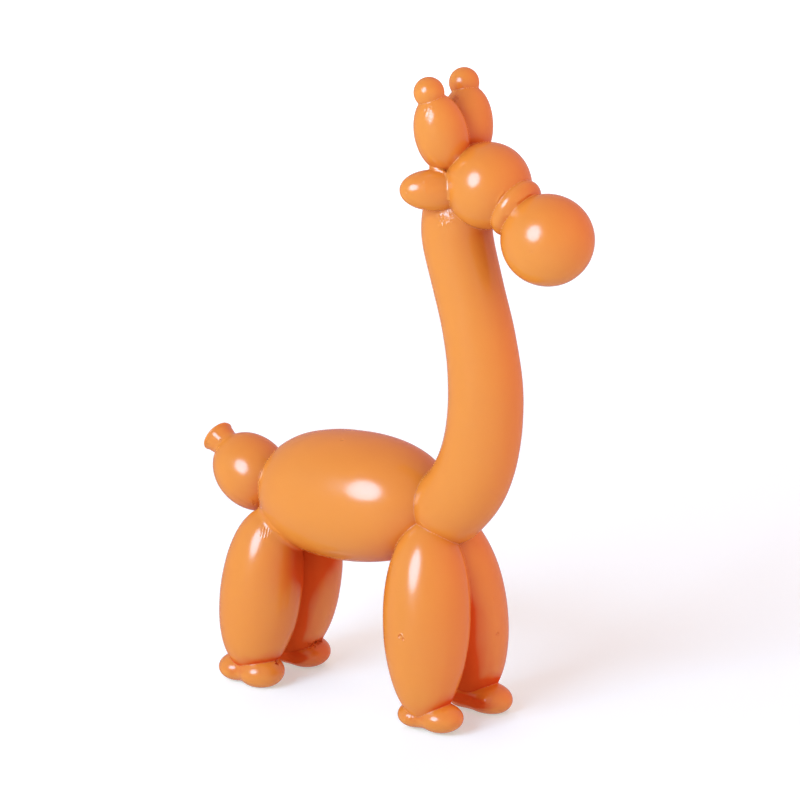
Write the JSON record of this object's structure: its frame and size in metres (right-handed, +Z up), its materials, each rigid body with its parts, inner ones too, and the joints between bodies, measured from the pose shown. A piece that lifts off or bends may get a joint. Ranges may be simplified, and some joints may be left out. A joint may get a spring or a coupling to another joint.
{
  "type": "balloon giraffe ornament",
  "caption": "Standing giraffe ornament shaped like a twisted modelling balloon, cast in one piece and painted satin orange.",
  "frame": {"origin": "on the table surface, under the middle of the ornament's box", "axes": "+Z up, the giraffe faces -Y, and X runs across it, its own left side at +X"},
  "size_m": [0.07, 0.2089, 0.2993],
  "materials": {
    "orange_paint": "satin-gloss sprayed paint over cast resin"
  },
  "bodies": {
    "root": {"balloon_giraffe": "orange_paint"}
  },
  "joints": []
}
